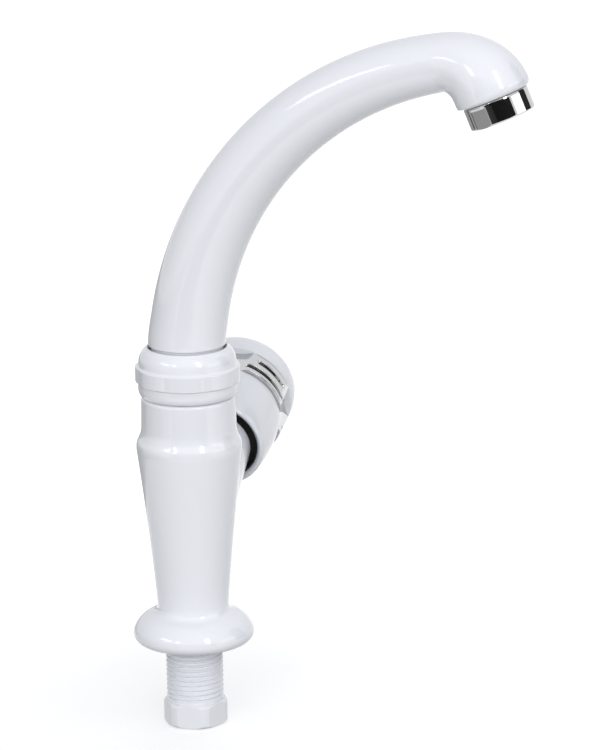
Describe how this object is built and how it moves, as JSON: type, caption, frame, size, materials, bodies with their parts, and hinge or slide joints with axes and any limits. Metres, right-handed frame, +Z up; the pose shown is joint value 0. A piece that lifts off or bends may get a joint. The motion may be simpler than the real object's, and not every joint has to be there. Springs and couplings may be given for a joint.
{
  "type": "pillar tap",
  "caption": "Pillar tap: flared column on a round foot, swivelling swan-neck spout with an aerator, and a side knob on a screw-down valve.",
  "frame": {"origin": "centre of the foot's underside, on the column's axis, where the tap meets the worktop", "axes": "+Z up along the column, +X along the spout at rest, knob on the +Y side and raised"},
  "size_m": [0.1599, 0.108, 0.2627],
  "materials": {
    "white_plastic": "gloss moulded white",
    "chrome": "bright chrome plating",
    "black_rubber": "matt rubber",
    "acetal": "satin",
    "fibre": "matt fibre",
    "steel": "brushed",
    "brass": "turned"
  },
  "bodies": {
    "base": {"column": "white_plastic", "shank": "white_plastic", "shank_seal": "black_rubber", "foot_gasket": "black_rubber", "collar_nut": "white_plastic", "thrust_washer": "acetal", "bonnet": "acetal", "bonnet_washer": "fibre"},
    "spout": {"spout": "white_plastic", "spout_seal_lower": "black_rubber", "spout_seal_upper": "black_rubber", "slip_ring": "acetal", "aerator_shell": "chrome", "aerator_cartridge": "acetal", "aerator_screen": "steel", "aerator_washer": "black_rubber"},
    "knob": {"spindle": "brass", "spindle_seal_inner": "black_rubber", "spindle_seal_outer": "black_rubber", "spindle_clip": "steel", "knob_skirt": "white_plastic", "knob_ring": "chrome", "knob_cap": "white_plastic", "knob_screw": "steel"},
    "jumper": {"jumper": "brass", "jumper_washer": "black_rubber", "jumper_screw": "steel"}
  },
  "joints": [
    {"name": "spout_swivel", "type": "hinge", "parent": "base", "child": "spout", "pos_m": [0, 0, 0.1035], "axis": [0, 0, 1], "continuous": true},
    {"name": "knob_turn", "type": "hinge", "parent": "base", "child": "knob", "pos_m": [0, 0, 0.0534], "axis": [-0.1055, 0.9555, 0.2756], "range_deg": [0, 540]},
    {"name": "jumper_lift", "type": "slide", "parent": "base", "child": "jumper", "axis": [-0.1055, 0.9555, 0.2756], "range_m": [0, 0.003]}
  ],
  "couplings": [
    {"joint": "jumper_lift", "follows": "knob_turn", "m_per_rad": 0.000318}
  ]
}
